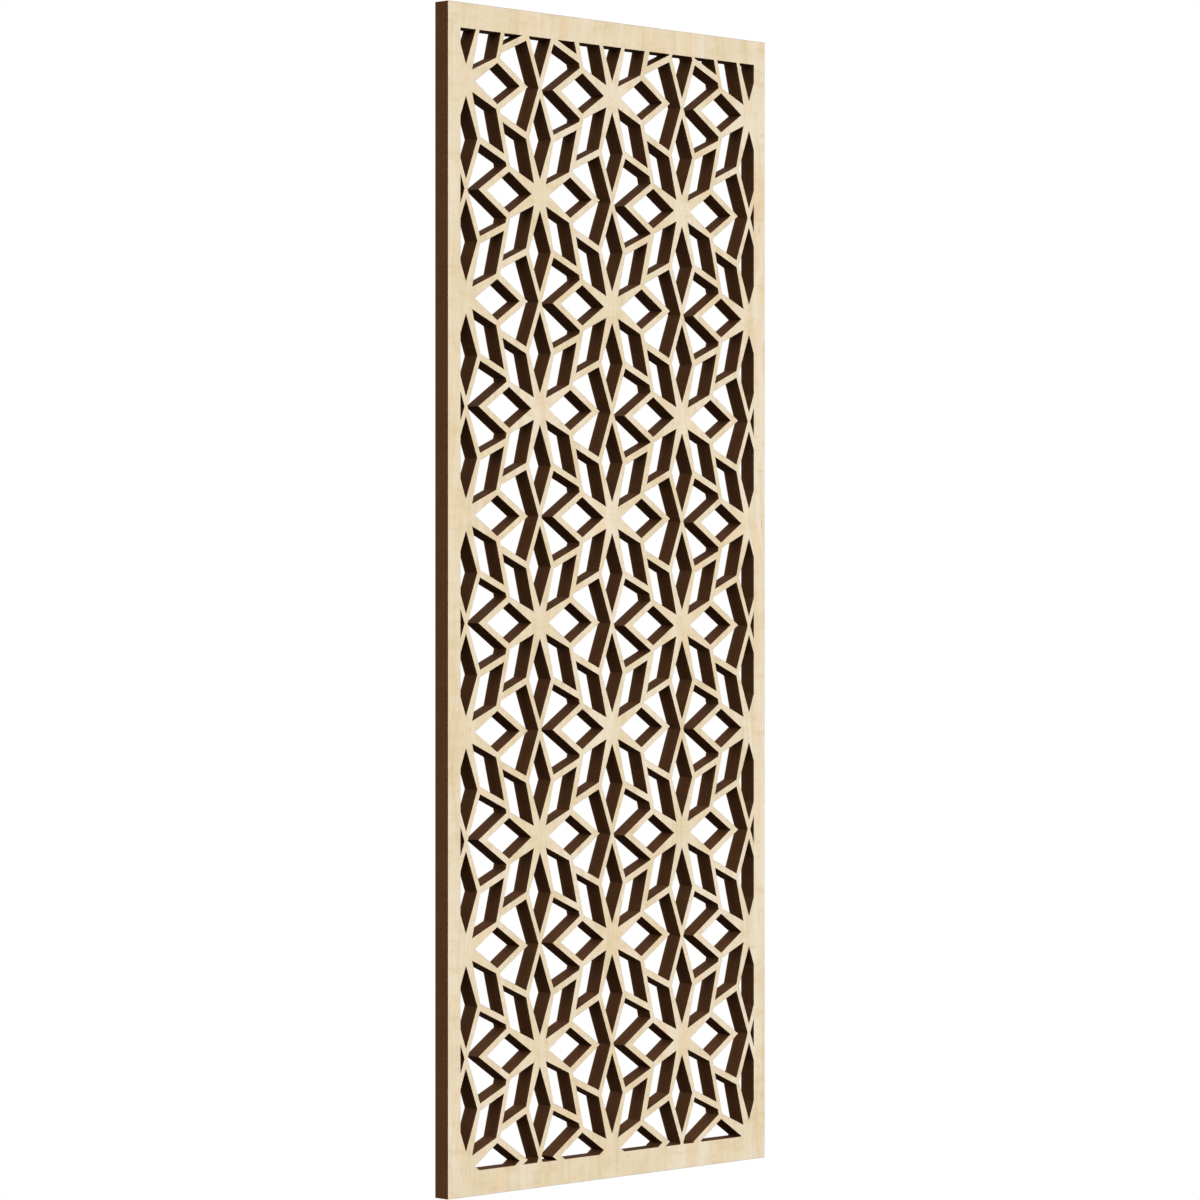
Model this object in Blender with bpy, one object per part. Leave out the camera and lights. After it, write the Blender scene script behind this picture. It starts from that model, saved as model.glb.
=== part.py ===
"""Fretwork wall panel: one flat board, cut right through with a net of eight-petalled stars.

Metres, +Z up, +X to the right as seen from the front. The face looks along -Y and the back
lies in the plane y = 0. The origin is on the back, in the middle of the top rail, where the
panel is fixed to its wall.

The net is worked out on a drawing plane in which every star is regular. The plane is then
stretched upwards until one repeat is STAR_PITCH_Z high, as the real net is.
"""
import math

import bmesh
import bpy
import numpy as np

# The board
PANEL_WIDTH = 0.464
PANEL_HEIGHT = 1.180
PANEL_THICKNESS = 0.018
STILE_WIDTH = 0.0174
RAIL_HEIGHT = 0.0252

# The net of stars: every second column sits half a pitch lower
STAR_PITCH_X = 0.2072
STAR_PITCH_Z = 0.2149
TOP_STAR_DROP = 0.0762
ODD_COLUMN_RAISE = 0.0006
ODD_COLUMN_SPREAD = 0.0005

# Right of this column the net was cut a little lower than left of it
LAST_LEFT_COLUMN = 0
RIGHT_NET_DROP = 0.0034

# One star, measured on the drawing plane. STRAP_WIDTH is between the petals of two stars,
# and ARROW_STRAP_WIDTH is between a petal and an arrow-shaped opening
PETALS = 8
PETAL_SLIMNESS = 2.0
STRAP_WIDTH = 0.0060
ARROW_STRAP_WIDTH = 0.0054
SHOULDER_WIDTH = 0.0045
TIP_GAP = 0.0154

# Cuts
MIN_OPENING = 0.002
CUT_OVERRUN = 0.002

TOP_EDGE = RAIL_HEIGHT / 2
BOTTOM_EDGE = TOP_EDGE - PANEL_HEIGHT
WINDOW_HALF_WIDTH = PANEL_WIDTH / 2 - STILE_WIDTH
WINDOW_TOP = TOP_EDGE - RAIL_HEIGHT
WINDOW_BOTTOM = BOTTOM_EDGE + RAIL_HEIGHT

PETAL_TURN = math.tau / PETALS
HALF_TIP_ANGLE = math.atan(1 / PETAL_SLIMNESS)


def petal_reach():
    """Distance from a star's centre to its petals' far tips.

    It is the reach that leaves one strap between the slanting petals of two neighbours,
    and TIP_GAP between the upright petals of two stars in one column.
    """
    lean = PETAL_TURN - HALF_TIP_ANGLE
    across = math.cos(lean) * STAR_PITCH_X / 2 - math.sin(lean) * TIP_GAP / 2
    return (across - STRAP_WIDTH) / (2 * math.sin(HALF_TIP_ANGLE) + math.sin(lean))


def petal_length(reach):
    """Length of a petal whose shoulders stay SHOULDER_WIDTH from the next petal's."""
    half_turn = PETAL_TURN / 2
    spare = reach * math.sin(half_turn) - SHOULDER_WIDTH / 2
    return 2 * spare / (math.sin(half_turn) + math.cos(half_turn) / PETAL_SLIMNESS)


REACH = petal_reach()
PETAL_LENGTH = petal_length(REACH)
PETAL_WIDTH = PETAL_LENGTH / PETAL_SLIMNESS
DRAWN_PITCH = 2 * REACH + TIP_GAP
STRETCH = STAR_PITCH_Z / DRAWN_PITCH


def star_centre(column, row):
    """Centre of a star on the drawing plane; column 0 is on the board's centre line."""
    aside = column * STAR_PITCH_X / 2
    drop = TOP_STAR_DROP + row * STAR_PITCH_Z
    if column % 2:
        aside += math.copysign(ODD_COLUMN_SPREAD, column)
        drop += STAR_PITCH_Z / 2 - ODD_COLUMN_RAISE
    if column > LAST_LEFT_COLUMN:
        drop += RIGHT_NET_DROP
    return np.array([aside, (TOP_EDGE - drop) / STRETCH])


def petal_axes(number):
    """Unit vectors along and across a petal; petal 0 points right and 2 points up."""
    turn = number * PETAL_TURN
    along = np.array([math.cos(turn), math.sin(turn)])
    across = np.array([-math.sin(turn), math.cos(turn)])
    return along, across


def petal(centre, number):
    """The lozenge-shaped opening of one petal."""
    along, across = petal_axes(number)
    middle = centre + along * (REACH - PETAL_LENGTH / 2)
    side = across * PETAL_WIDTH / 2
    end = along * PETAL_LENGTH / 2
    return [middle - end, middle - side, middle + end, middle + side]


def strap_line(centre, number, hand, flip):
    """The line one arrow strap outside a petal's far edge: a point, direction and normal.

    The edge lies on the petal's left for hand 1 and right for -1. flip mirrors the petal
    about its star's centre.
    """
    along, across = petal_axes(number)
    across = across * hand
    outward = along * math.sin(HALF_TIP_ANGLE) + across * math.cos(HALF_TIP_ANGLE)
    edge = along * math.cos(HALF_TIP_ANGLE) - across * math.sin(HALF_TIP_ANGLE)
    point = centre + flip * (along * REACH + outward * ARROW_STRAP_WIDTH)
    return point, flip * edge, flip * outward


def meet(first, second):
    """Where two lines cross."""
    sides = np.column_stack((first[1], -second[1]))
    steps = np.linalg.solve(sides, second[0] - first[0])
    return first[0] + first[1] * steps[0]


def chevron_tip(inner, blunt, end):
    """Corners where a chevron's arm ends nearest its star, cut blunt by the strap there."""
    corner = meet(inner, end)
    if np.dot(corner - blunt[0], blunt[2]) >= 0:
        return [corner]
    return [meet(inner, blunt), meet(blunt, end)]


def chevron(column, row, side):
    """The arrow-shaped opening between a star's level petal and the crossing beyond it.

    side is 1 for the opening right of the star and -1 for the one left of it. Its outer
    edges follow the two stars of the next column, above and below.
    """
    own = star_centre(column, row)
    row_above = row - 1 + column % 2
    halves = []
    for rise in (1, -1):
        flip = np.array([side, rise])
        neighbour = star_centre(column + side, row_above if rise > 0 else row_above + 1)
        inner = strap_line(own, 0, 1, flip)
        blunt = strap_line(own, 1, -1, flip)
        end = strap_line(neighbour, 5, 1, flip)
        outer = strap_line(neighbour, 6, -1, flip)
        corners = chevron_tip(inner, blunt, end) + [meet(end, outer)]
        halves.append((inner, corners, outer))
    (upper_inner, upper, upper_outer), (lower_inner, lower, lower_outer) = halves
    notch = meet(upper_inner, lower_inner)
    point = meet(upper_outer, lower_outer)
    return [notch, *upper, point, *reversed(lower)]


def in_window(outline):
    """True if enough of an opening shows inside the plain border to be cut."""
    low = np.min(outline, axis=0)
    high = np.max(outline, axis=0)
    width = min(high[0], WINDOW_HALF_WIDTH) - max(low[0], -WINDOW_HALF_WIDTH)
    height = min(high[1], WINDOW_TOP) - max(low[1], WINDOW_BOTTOM)
    return min(width, height) >= MIN_OPENING


def openings():
    """Outlines of all openings that reach the window, as x and z on the board."""
    columns = math.ceil(WINDOW_HALF_WIDTH / (STAR_PITCH_X / 2)) + 1
    rows = math.ceil(PANEL_HEIGHT / STAR_PITCH_Z) + 1
    outlines = []
    for column in range(-columns, columns + 1):
        for row in range(-1, rows):
            centre = star_centre(column, row)
            drawn = [petal(centre, number) for number in range(PETALS)]
            drawn += [chevron(column, row, side) for side in (-1, 1)]
            outlines += [np.array(shape) * (1, STRETCH) for shape in drawn]
    return [outline for outline in outlines if in_window(outline)]


def new_collection(name):
    collection = bpy.data.collections.new(name)
    bpy.context.scene.collection.children.link(collection)
    return collection


def box(name, low, high, collection):
    """A box between two corners, from the cube primitive, with its size applied."""
    low = np.array(low)
    high = np.array(high)
    mesh = bpy.data.meshes.new(name)
    cube = bmesh.new()
    bmesh.ops.create_cube(cube, size=1.0)
    bmesh.ops.scale(cube, vec=high - low, verts=cube.verts)
    cube.to_mesh(mesh)
    cube.free()
    obj = bpy.data.objects.new(name, mesh)
    obj.location = (low + high) / 2
    collection.objects.link(obj)
    return obj


def prisms(name, outlines, depth, collection):
    """Upright prisms on flat outlines, centred on the board's mid plane."""
    curve = bpy.data.curves.new(name, "CURVE")
    curve.dimensions = "2D"
    curve.fill_mode = "BOTH"
    curve.extrude = depth / 2
    for outline in outlines:
        spline = curve.splines.new("POLY")
        spline.points.add(len(outline) - 1)
        spline.use_cyclic_u = True
        for point, (x, z) in zip(spline.points, outline):
            point.co = (x, z, 0, 1)
    guide = bpy.data.objects.new(name + "_outline", curve)
    guide.location.y = -PANEL_THICKNESS / 2
    guide.rotation_euler.x = math.pi / 2
    collection.objects.link(guide)

    graph = bpy.context.evaluated_depsgraph_get()
    solid = bpy.data.meshes.new_from_object(guide.evaluated_get(graph))
    sealed = bmesh.new()
    sealed.from_mesh(solid)
    bmesh.ops.remove_doubles(sealed, verts=sealed.verts, dist=0.00001)
    sealed.to_mesh(solid)
    sealed.free()
    obj = bpy.data.objects.new(name, solid)
    obj.matrix_world = guide.matrix_world
    collection.objects.link(obj)
    bpy.data.objects.remove(guide)
    return obj


def boolean(obj, operation, other):
    cut = obj.modifiers.new(operation.title(), "BOOLEAN")
    cut.operation = operation
    cut.solver = "EXACT"
    cut.object = other
    other.hide_render = True
    other.display_type = "WIRE"


def birch_material():
    material = bpy.data.materials.new("pale_birch")
    material.use_nodes = True
    shader = material.node_tree.nodes["Principled BSDF"]
    shader.inputs["Base Color"].default_value = (0.80, 0.68, 0.49, 1.0)
    shader.inputs["Roughness"].default_value = 0.55
    shader.inputs["Metallic"].default_value = 0.0
    return material


def build():
    for obj in list(bpy.data.objects):
        bpy.data.objects.remove(obj)
    panel = new_collection("fretwork_wall_panel")
    cutters = new_collection("cutters")

    depth = PANEL_THICKNESS + 2 * CUT_OVERRUN
    holes = prisms("net_openings", openings(), depth, cutters)
    window = box(
        "window",
        (-WINDOW_HALF_WIDTH, -PANEL_THICKNESS - 2 * CUT_OVERRUN, WINDOW_BOTTOM),
        (WINDOW_HALF_WIDTH, 2 * CUT_OVERRUN, WINDOW_TOP),
        cutters,
    )
    boolean(holes, "INTERSECT", window)

    board = box(
        "fretwork_panel",
        (-PANEL_WIDTH / 2, -PANEL_THICKNESS, BOTTOM_EDGE),
        (PANEL_WIDTH / 2, 0, TOP_EDGE),
        panel,
    )
    board.data.materials.append(birch_material())
    boolean(board, "DIFFERENCE", holes)


build()
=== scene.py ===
import math

import bmesh
import bpy
import numpy as np
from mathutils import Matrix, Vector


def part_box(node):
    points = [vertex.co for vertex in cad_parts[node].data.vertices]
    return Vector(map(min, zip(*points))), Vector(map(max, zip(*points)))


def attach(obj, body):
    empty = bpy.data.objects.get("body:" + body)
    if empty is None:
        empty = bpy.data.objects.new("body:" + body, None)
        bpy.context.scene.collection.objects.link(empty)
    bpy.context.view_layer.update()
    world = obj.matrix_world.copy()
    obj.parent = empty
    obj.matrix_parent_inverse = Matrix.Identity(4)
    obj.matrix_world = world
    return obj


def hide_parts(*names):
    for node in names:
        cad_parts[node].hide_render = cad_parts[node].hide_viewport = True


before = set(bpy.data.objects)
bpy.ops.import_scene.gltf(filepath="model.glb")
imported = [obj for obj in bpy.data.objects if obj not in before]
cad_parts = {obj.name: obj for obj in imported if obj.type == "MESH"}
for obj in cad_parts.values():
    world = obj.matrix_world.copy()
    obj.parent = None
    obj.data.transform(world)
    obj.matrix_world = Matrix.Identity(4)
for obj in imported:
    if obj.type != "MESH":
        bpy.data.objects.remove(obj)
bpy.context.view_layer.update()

# The board. One upright sheet of birch plywood, sanded and given a satin clear coat on both
# faces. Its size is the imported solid's own, and its face looks along -Y. Its top rail holds
# it to the wall.
board_low, board_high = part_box("fretwork_panel")
board_width, board_thickness, board_height = board_high - board_low
board_middle = (board_low + board_high) / 2
stile_width = 0.0174
rail_height = 0.0252
window_half_width = board_width / 2 - stile_width
window_top = board_high.z - rail_height
window_bottom = board_low.z + rail_height


# The net. Petalled stars stand in columns, each second column half a pitch lower, and thin
# straps run between them. It is drawn with regular stars on a plane that is then stretched
# upwards. The columns right of the middle one were cut a little lower.
star_pitch_x = 0.2072
star_pitch_z = 0.2149
top_star_drop = 0.0762
odd_column_raise = 0.0006
odd_column_spread = 0.0005
last_left_column = 0
right_net_drop = 0.0034
petals = 8
petal_slimness = 2.0
strap_width = 0.0060
arrow_strap_width = 0.0054
shoulder_width = 0.0045
tip_gap = 0.0154
least_opening = 0.002

petal_turn = math.tau / petals
half_tip_angle = math.atan(1 / petal_slimness)


def petal_reach():
    """From a star's centre to its petals' far tips: it leaves one strap between two stars."""
    lean = petal_turn - half_tip_angle
    across = math.cos(lean) * star_pitch_x / 2 - math.sin(lean) * tip_gap / 2
    return (across - strap_width) / (2 * math.sin(half_tip_angle) + math.sin(lean))


def petal_length(reach):
    """The length that keeps a petal's shoulders shoulder_width from the next petal's."""
    half_turn = petal_turn / 2
    spare = reach * math.sin(half_turn) - shoulder_width / 2
    return 2 * spare / (math.sin(half_turn) + math.cos(half_turn) / petal_slimness)


reach = petal_reach()
length = petal_length(reach)
stretch = star_pitch_z / (2 * reach + tip_gap)


def star_centre(column, row):
    """Centre of a star on the drawing plane; column 0 is on the board's centre line."""
    aside = column * star_pitch_x / 2
    drop = top_star_drop + row * star_pitch_z
    if column % 2:
        aside += math.copysign(odd_column_spread, column)
        drop += star_pitch_z / 2 - odd_column_raise
    if column > last_left_column:
        drop += right_net_drop
    return np.array([aside, (board_high.z - drop) / stretch])


def petal_axes(number):
    """Unit vectors along and across a petal; petal 0 points right and 2 points up."""
    turn = number * petal_turn
    along = np.array([math.cos(turn), math.sin(turn)])
    return along, np.array([-along[1], along[0]])


def petal(centre, number):
    """The lozenge-shaped opening of one petal."""
    along, across = petal_axes(number)
    middle = centre + along * (reach - length / 2)
    side = across * length / petal_slimness / 2
    end = along * length / 2
    return [middle - end, middle - side, middle + end, middle + side]


def strap_line(centre, number, hand, flip):
    """The line one arrow strap outside a petal's far edge: a point, direction and normal."""
    along, across = petal_axes(number)
    across = across * hand
    outward = along * math.sin(half_tip_angle) + across * math.cos(half_tip_angle)
    edge = along * math.cos(half_tip_angle) - across * math.sin(half_tip_angle)
    point = centre + flip * (along * reach + outward * arrow_strap_width)
    return point, flip * edge, flip * outward


def meet(first, second):
    """Where two lines cross."""
    steps = np.linalg.solve(np.column_stack((first[1], -second[1])), second[0] - first[0])
    return first[0] + first[1] * steps[0]


def chevron(column, side):
    """The arrow-shaped opening between a level petal and the crossing on that side of it."""
    own = star_centre(column, 0)
    row_above = column % 2 - 1
    halves = []
    for rise in (1, -1):
        flip = np.array([side, rise])
        neighbour = star_centre(column + side, row_above if rise > 0 else row_above + 1)
        inner = strap_line(own, 0, 1, flip)
        blunt = strap_line(own, 1, -1, flip)
        end = strap_line(neighbour, 5, 1, flip)
        outer = strap_line(neighbour, 6, -1, flip)
        tip = [meet(inner, end)]
        if np.dot(tip[0] - blunt[0], blunt[2]) < 0:
            tip = [meet(inner, blunt), meet(blunt, end)]
        halves.append((inner, tip + [meet(end, outer)], outer))
    (upper_inner, upper, upper_outer), (lower_inner, lower, lower_outer) = halves
    notch = meet(upper_inner, lower_inner)
    point = meet(upper_outer, lower_outer)
    return [notch, *upper, point, *reversed(lower)]


def shows(outline):
    """True if an opening of some row reaches far enough past the stiles to be cut."""
    near = min(np.max(outline[:, 0]), window_half_width)
    far = max(np.min(outline[:, 0]), -window_half_width)
    return near - far >= least_opening


def net_row():
    """One row of the net as flat faces that look backwards, into the cut."""
    columns = math.ceil(window_half_width / (star_pitch_x / 2)) + 1
    flat = bmesh.new()
    for column in range(-columns, columns + 1):
        centre = star_centre(column, 0)
        shapes = [petal(centre, number) for number in range(petals)]
        shapes += [chevron(column, side) for side in (-1, 1)]
        for shape in shapes:
            outline = np.array(shape) * (1, stretch)
            if shows(outline):
                flat.faces.new([flat.verts.new((x, 0, z)) for x, z in outline])
    for face in flat.faces:
        face.normal_update()
        if face.normal.y < 0:
            face.normal_flip()
    mesh = bpy.data.meshes.new("net_row")
    flat.to_mesh(mesh)
    flat.free()
    return mesh


# The fretwork. A laser cuts the openings right through the board, and stops at a plain
# border: the stiles at the sides and the rails above and below. The rows repeat exactly, so
# one row is set out and the tree below cuts all of them.
spare_rows = 2
rows = math.ceil(board_height / star_pitch_z) + spare_rows
cut_overrun = 0.002
weld_distance = 0.00001
facing_limit = 0.5


def add(tree, kind, inputs=(), **settings):
    """A node with its settings; each input is a value, or a socket that is linked to it."""
    made = tree.nodes.new(kind)
    for name, value in settings.items():
        setattr(made, name, value)
    for name, value in dict(inputs).items():
        if isinstance(value, bpy.types.NodeSocket):
            tree.links.new(value, made.inputs[name])
        else:
            made.inputs[name].default_value = value
    return made


def fretwork_tree():
    """Stacks the row of openings, keeps what lies in the border and cuts it from the board."""
    tree = bpy.data.node_groups.new("fretwork", "GeometryNodeTree")
    sockets = (
        ("Net row", "Geometry"),
        ("Rows", "Int"),
        ("First row", "Vector"),
        ("Row step", "Vector"),
        ("Cut depth", "Float"),
        ("Board size", "Vector"),
        ("Board middle", "Vector"),
        ("Window size", "Vector"),
        ("Face veneer", "Material"),
        ("Cut edge", "Material"),
    )
    for name, kind in sockets:
        tree.interface.new_socket(name, in_out="INPUT", socket_type="NodeSocket" + kind)
    tree.interface.new_socket("Panel", in_out="OUTPUT", socket_type="NodeSocketGeometry")
    given = tree.nodes.new("NodeGroupInput").outputs

    line = add(tree, "GeometryNodeMeshLine", {
        "Count": given["Rows"],
        "Start Location": given["First row"],
        "Offset": given["Row step"],
    })
    stacked = add(tree, "GeometryNodeInstanceOnPoints", {
        "Points": line.outputs["Mesh"],
        "Instance": given["Net row"],
    })
    flat = add(tree, "GeometryNodeRealizeInstances", {"Geometry": stacked.outputs["Instances"]})
    raised = add(tree, "GeometryNodeExtrudeMesh", {
        "Mesh": flat.outputs["Geometry"],
        "Offset Scale": given["Cut depth"],
        "Individual": False,
    })
    floors = add(tree, "GeometryNodeFlipFaces", {"Mesh": flat.outputs["Geometry"]})
    both = add(tree, "GeometryNodeJoinGeometry")
    tree.links.new(raised.outputs["Mesh"], both.inputs[0])
    tree.links.new(floors.outputs["Mesh"], both.inputs[0])
    prisms = add(tree, "GeometryNodeMergeByDistance", {
        "Geometry": both.outputs["Geometry"],
        "Distance": weld_distance,
    })

    window = add(tree, "GeometryNodeMeshCube", {"Size": given["Window size"]})
    placed_window = add(tree, "GeometryNodeTransform", {
        "Geometry": window.outputs["Mesh"],
        "Translation": given["Board middle"],
    })
    kept = add(tree, "GeometryNodeMeshBoolean", operation="INTERSECT", solver="MANIFOLD")
    tree.links.new(prisms.outputs["Geometry"], kept.inputs["Mesh 2"])
    tree.links.new(placed_window.outputs["Geometry"], kept.inputs["Mesh 2"])

    board = add(tree, "GeometryNodeMeshCube", {"Size": given["Board size"]})
    placed_board = add(tree, "GeometryNodeTransform", {
        "Geometry": board.outputs["Mesh"],
        "Translation": given["Board middle"],
    })
    cut = add(tree, "GeometryNodeMeshBoolean", {
        "Mesh 1": placed_board.outputs["Geometry"],
        "Mesh 2": kept.outputs["Mesh"],
    }, operation="DIFFERENCE", solver="MANIFOLD")
    panel = add(tree, "GeometryNodeRealizeInstances", {"Geometry": cut.outputs["Mesh"]})

    normal = add(tree, "GeometryNodeInputNormal")
    facing = add(tree, "ShaderNodeSeparateXYZ", {0: normal.outputs["Normal"]})
    depthwise = add(tree, "ShaderNodeMath", {0: facing.outputs["Y"]}, operation="ABSOLUTE")
    is_wall = add(tree, "FunctionNodeCompare", {"A": depthwise.outputs[0], "B": facing_limit},
                  operation="LESS_THAN")
    faced = add(tree, "GeometryNodeSetMaterial", {
        "Geometry": panel.outputs["Geometry"],
        "Material": given["Face veneer"],
    })
    edged = add(tree, "GeometryNodeSetMaterial", {
        "Geometry": faced.outputs["Geometry"],
        "Selection": is_wall.outputs["Result"],
        "Material": given["Cut edge"],
    })
    result = tree.nodes.new("NodeGroupOutput")
    tree.links.new(edged.outputs["Geometry"], result.inputs["Panel"])
    return tree


# The face veneers. Pale rotary-cut birch with its grain upright, under a satin clear coat.
# Soft streaks run along the grain, over slow changes from cream to straw, with a rosy blush
# here and there, short dark flecks, fine pores and a faint figure slanting across.
cream = (0.875, 0.758, 0.580, 1)
straw = (0.828, 0.702, 0.492, 1)
tan = (0.735, 0.570, 0.338, 1)
rosy = (0.838, 0.632, 0.385, 1)
fleck_brown = (0.52, 0.36, 0.20, 1)
grain_wander = 5.5
grain_sway = 0.05
paler_to_right = -0.24
satin_roughness = (0.50, 0.60)
satin_specular = 0.25
fibre_relief = 0.0002
fibre_bump = 0.35


def shader_tree(name):
    """A new material with its node tree and its shader."""
    material = bpy.data.materials.new(name)
    material.use_nodes = True
    return material, material.node_tree, material.node_tree.nodes["Principled BSDF"]


def grain(tree, spot, scale, turn=0.0, detail=2.0, roughness=0.5):
    """Noise drawn out along the grain; scale is in cells a metre along x, y and z."""
    mapped = add(tree, "ShaderNodeMapping", {
        "Vector": spot, "Rotation": (0, turn, 0), "Scale": scale,
    })
    noise = add(tree, "ShaderNodeTexNoise", {
        "Vector": mapped.outputs["Vector"], "Scale": 1.0, "Detail": detail, "Roughness": roughness,
    })
    return noise.outputs["Fac"]


def spread(tree, value, low, high, to_low=0.0, to_high=1.0):
    """A value's range low to high carried over to another, with soft ends."""
    return add(tree, "ShaderNodeMapRange", {
        "Value": value, "From Min": low, "From Max": high, "To Min": to_low, "To Max": to_high,
    }, interpolation_type="SMOOTHSTEP").outputs["Result"]


def blend(tree, amount, first, second):
    """Two colours mixed."""
    mix = add(tree, "ShaderNodeMix", {"Factor": amount}, data_type="RGBA")
    for socket, colour in ((mix.inputs[6], first), (mix.inputs[7], second)):
        if isinstance(colour, bpy.types.NodeSocket):
            tree.links.new(colour, socket)
        else:
            socket.default_value = colour
    return mix.outputs[2]


def layered(tree, tone, layers):
    """A colour under layers: each has a pattern, the values where it starts and is full, its
    strength there and its colour."""
    for pattern, start, full, strength, colour in layers:
        shown = spread(tree, pattern, start, full)
        shown = add(tree, "ShaderNodeMath", {0: shown, 1: strength}, operation="MULTIPLY")
        tone = blend(tree, shown.outputs[0], tone, colour)
    return tone


def veneer_finish():
    material, tree, shader = shader_tree("birch_face_veneer")
    place = add(tree, "ShaderNodeTexCoord").outputs["Object"]
    wander = add(tree, "ShaderNodeTexNoise", {
        "Vector": place, "Scale": grain_wander, "Detail": 2.0,
    })
    sway = add(tree, "ShaderNodeVectorMath", {
        0: wander.outputs["Color"], 1: (grain_sway, 0, 0),
    }, operation="MULTIPLY")
    spot = add(tree, "ShaderNodeVectorMath", {0: place, 1: sway.outputs["Vector"]},
               operation="ADD").outputs["Vector"]

    patches = grain(tree, spot, (14, 40, 5.5), detail=1.5)
    across = add(tree, "ShaderNodeSeparateXYZ", {0: place}).outputs["X"]
    patches = add(tree, "ShaderNodeMath", {0: across, 1: paler_to_right, 2: patches},
                  operation="MULTIPLY_ADD").outputs[0]
    bands = grain(tree, spot, (74, 60, 5), detail=2.5, roughness=0.6)
    streaks = grain(tree, spot, (190, 90, 9), detail=3.0, roughness=0.6)
    fibres = grain(tree, spot, (950, 300, 28), detail=2.0, roughness=0.6)
    figure = grain(tree, spot, (45, 30, 110), turn=0.5, detail=2.5, roughness=0.6)
    pores = grain(tree, spot, (2600, 700, 190), detail=1.0)
    flecks = grain(tree, spot, (420, 130, 62), turn=0.03, detail=1.0)
    blush = grain(tree, spot, (48, 44, 14), turn=0.12, detail=2.0)

    tone = layered(tree, cream, (
        (patches, 0.41, 0.56, 1.0, straw),
        (bands, 0.47, 0.70, 0.66, tan),
        (streaks, 0.50, 0.72, 0.45, tan),
        (blush, 0.50, 0.66, 0.55, rosy),
        (streaks, 0.48, 0.28, 0.55, cream),
        (figure, 0.50, 0.68, 0.45, tan),
        (figure, 0.48, 0.32, 0.32, cream),
        (fibres, 0.45, 0.75, 0.26, tan),
        (pores, 0.62, 0.74, 0.25, fleck_brown),
        (flecks, 0.70, 0.80, 0.35, fleck_brown),
    ))
    tree.links.new(tone, shader.inputs["Base Color"])

    sheen = spread(tree, streaks, 0.3, 0.7, *satin_roughness)
    tree.links.new(sheen, shader.inputs["Roughness"])
    relief = add(tree, "ShaderNodeMath", {0: fibres, 1: pores}, operation="SUBTRACT")
    bump = add(tree, "ShaderNodeBump", {
        "Height": relief.outputs[0], "Strength": fibre_bump, "Distance": fibre_relief,
    })
    tree.links.new(bump.outputs["Normal"], shader.inputs["Normal"])
    shader.inputs["Specular IOR Level"].default_value = satin_specular
    return material


# The cut edges. The board's outside and the walls of all openings were scorched a dark matt
# brown as they were cut. Thirteen plies lie across the thickness with thin glue lines between
# them, and the laser left fine marks through the thickness.
plies = 13
ply_waver = 1.2
scorched = (0.103, 0.0425, 0.0158, 1)
scorched_end_grain = (0.078, 0.0315, 0.0115, 1)
scorch_rubbed = (0.138, 0.0600, 0.0250, 1)
glue_line = (0.048, 0.0190, 0.0075, 1)
scorched_roughness = (0.72, 0.88)
scorched_specular = 0.03
mark_relief = 0.0002
mark_bump = 0.4


def edge_finish():
    material, tree, shader = shader_tree("scorched_edge")
    place = add(tree, "ShaderNodeTexCoord").outputs["Object"]
    axes = add(tree, "ShaderNodeSeparateXYZ", {0: place})
    waver = grain(tree, place, (28, 90, 28), detail=2.0)
    depth = add(tree, "ShaderNodeMath", {
        0: axes.outputs["Y"], 1: plies / board_thickness, 2: plies - ply_waver / 2,
    }, operation="MULTIPLY_ADD").outputs[0]
    depth = add(tree, "ShaderNodeMath", {0: waver, 1: ply_waver, 2: depth},
                operation="MULTIPLY_ADD").outputs[0]
    ply = add(tree, "ShaderNodeMath", {0: depth}, operation="FLOOR").outputs[0]
    own_tone = add(tree, "ShaderNodeTexWhiteNoise", {"W": ply}, noise_dimensions="1D")
    to_line = add(tree, "ShaderNodeMath", {0: depth, 1: 0.5}, operation="PINGPONG").outputs[0]

    along_fibres = grain(tree, place, (90, 2600, 90), detail=2.0)
    beam_marks = grain(tree, place, (900, 25, 900), detail=2.0)
    blotches = grain(tree, place, (38, 60, 38), detail=2.0)
    broken = spread(tree, blotches, 0.35, 0.6, 0.25, 0.8)

    ply_tone = blend(tree, own_tone.outputs["Value"], scorched, scorched_end_grain)
    tone = layered(tree, ply_tone, (
        (along_fibres, 0.5, 0.75, 0.35, scorch_rubbed),
        (beam_marks, 0.5, 0.72, 0.35, scorch_rubbed),
        (blotches, 0.48, 0.66, 0.30, scorched_end_grain),
        (to_line, 0.09, 0.02, broken, glue_line),
    ))
    tree.links.new(tone, shader.inputs["Base Color"])
    sheen = spread(tree, beam_marks, 0.3, 0.7, *scorched_roughness)
    tree.links.new(sheen, shader.inputs["Roughness"])
    bump = add(tree, "ShaderNodeBump", {
        "Height": beam_marks, "Strength": mark_bump, "Distance": mark_relief,
    })
    tree.links.new(bump.outputs["Normal"], shader.inputs["Normal"])
    shader.inputs["Specular IOR Level"].default_value = scorched_specular
    return material


# The panel itself. One piece, cut from the board by the tree above. A light pass with
# sandpaper took the sharpness off the arrises in front, and the scorching reaches over them.
# The back, which nobody sees, is left as it was cut.
arris = 0.00025
arris_segments = 2

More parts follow.
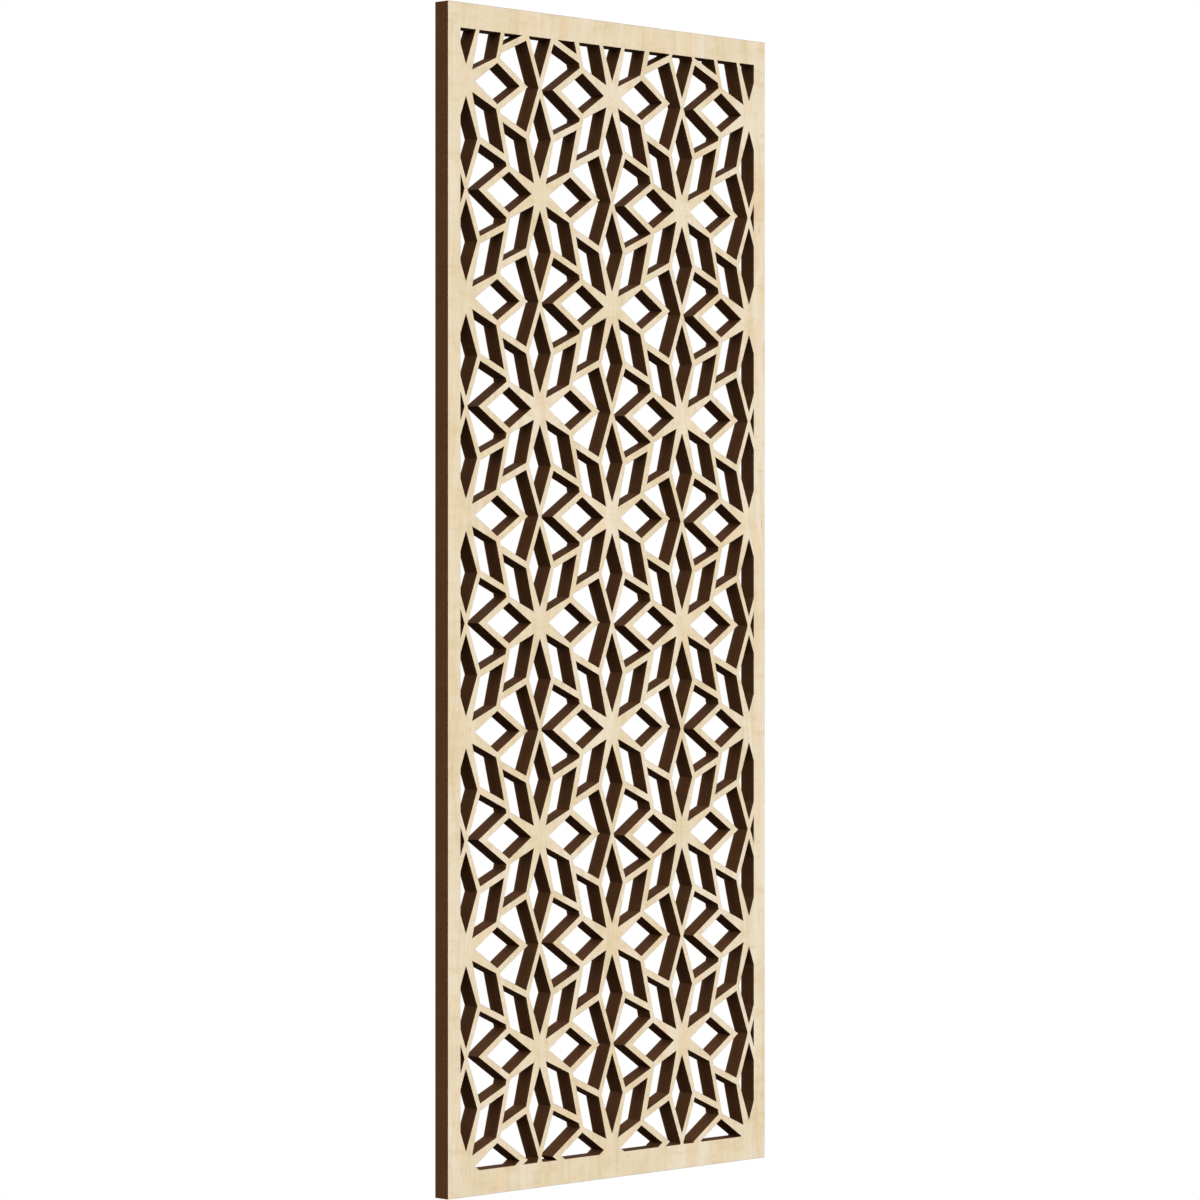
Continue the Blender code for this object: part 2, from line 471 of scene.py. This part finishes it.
blank = bpy.data.objects.new("fretwork", net_row())
bpy.context.scene.collection.objects.link(blank)
work = blank.modifiers.new("fretwork", "NODES")
work.node_group = fretwork_tree()
settings = {
    "Rows": rows,
    "First row": (0, board_low.y - cut_overrun, star_pitch_z),
    "Row step": (0, 0, -star_pitch_z),
    "Cut depth": board_thickness + 2 * cut_overrun,
    "Board size": board_high - board_low,
    "Board middle": board_middle,
    "Window size": (
        2 * window_half_width, board_thickness + 2 * cut_overrun, window_top - window_bottom,
    ),
    "Face veneer": veneer_finish(),
    "Cut edge": edge_finish(),
}
for socket in work.node_group.interface.items_tree:
    if socket.in_out == "INPUT" and socket.name in settings:
        work[socket.identifier] = settings[socket.name]
graph = bpy.context.evaluated_depsgraph_get()
panel = bpy.data.objects.new("panel", bpy.data.meshes.new_from_object(blank.evaluated_get(graph)))
bpy.context.scene.collection.objects.link(panel)
bpy.data.objects.remove(blank)

form = bmesh.new()
form.from_mesh(panel.data)
weight = form.edges.layers.float.new("bevel_weight_edge")
for edge in form.edges:
    in_front = [face.normal.y < -facing_limit for face in edge.link_faces]
    edge[weight] = float(any(in_front) and not all(in_front))
form.to_mesh(panel.data)
form.free()
panel.data.materials.pop(index=0)
sanded = panel.modifiers.new("sanded arrises", "BEVEL")
sanded.limit_method = "WEIGHT"
sanded.width = arris
sanded.segments = arris_segments
sanded.use_clamp_overlap = False
sanded.material = 1
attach(panel, "root")
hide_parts("fretwork_panel")


# The floor. A plain pale disc under the panel, which hangs with its middle at eye level. It
# is small enough to leave the panel in full view from below.
floor_drop = 0.95
floor_radius = 1.1
floor_sides = 96
floor_grey = (0.86, 0.86, 0.85, 1)
floor_roughness = 0.7

bpy.ops.mesh.primitive_circle_add(
    vertices=floor_sides, radius=floor_radius, fill_type="NGON",
    location=(0, 0, board_low.z - floor_drop),
)
floor = bpy.context.object
floor.name = "floor"
floor_paint, _, floor_shader = shader_tree("pale_floor")
floor_shader.inputs["Base Color"].default_value = floor_grey
floor_shader.inputs["Roughness"].default_value = floor_roughness
floor.data.materials.append(floor_paint)
floor.visible_diffuse = False


# The camera. It stands level with the panel's middle, about 4.5 m off to the left front, and
# looks level, turned to the right.
sensor_width = 36.0
focal_length = 133.12
camera_place = (-3.251245, -3.175178, board_middle.z)
camera_turn = math.radians(-45.684353)

lens = bpy.data.cameras.new("camera")
lens.sensor_width = sensor_width
lens.lens = focal_length
camera = bpy.data.objects.new("camera", lens)
camera.location = camera_place
camera.rotation_euler = (math.pi / 2, 0, camera_turn)
bpy.context.scene.collection.objects.link(camera)
bpy.context.scene.camera = camera


# The light. A studio that is bright from above and dim from below, with four large round
# softboxes a little above the panel's middle, stronger in front and behind than at its
# sides. The paper behind the panel is white.
white = (1, 1, 1, 1)
dim_height, bright_height = -0.12, 0.54
dim_glow, bright_glow = 0.085, 1.44
softbox_size = 1.5
softbox_distance = 4
softbox_rise = 0.15
softboxes = {
    "front": ((0, -1), 65),
    "back": ((0, 1), 65),
    "left": ((-1, 0), 37),
    "right": ((1, 0), 37),
}

world = bpy.data.worlds.new("studio")
bpy.context.scene.world = world
world.use_nodes = True
sky = world.node_tree
sky.nodes.clear()
direction = add(sky, "ShaderNodeTexCoord").outputs["Generated"]
height = add(sky, "ShaderNodeSeparateXYZ", {0: direction}).outputs["Z"]
glow = spread(sky, height, dim_height, bright_height, dim_glow, bright_glow)
room = add(sky, "ShaderNodeBackground", {"Color": white, "Strength": glow})
paper = add(sky, "ShaderNodeBackground", {"Color": white, "Strength": 1.0})
seen = add(sky, "ShaderNodeLightPath").outputs["Is Camera Ray"]
shown = add(sky, "ShaderNodeMixShader", {
    0: seen, 1: room.outputs["Background"], 2: paper.outputs["Background"],
})
add(sky, "ShaderNodeOutputWorld", {"Surface": shown.outputs["Shader"]})

for name, ((x, y), watts) in softboxes.items():
    softbox = bpy.data.lights.new("softbox_" + name, "AREA")
    softbox.shape = "DISK"
    softbox.size = softbox_size
    softbox.energy = watts
    lamp = bpy.data.objects.new("softbox_" + name, softbox)
    lamp.location = (softbox_distance * x, softbox_distance * y, board_middle.z + softbox_rise)
    aim = board_middle - lamp.location
    lamp.rotation_euler = aim.to_track_quat("-Z", "Y").to_euler()
    bpy.context.scene.collection.objects.link(lamp)
bpy.context.scene.view_settings.view_transform = "Standard"
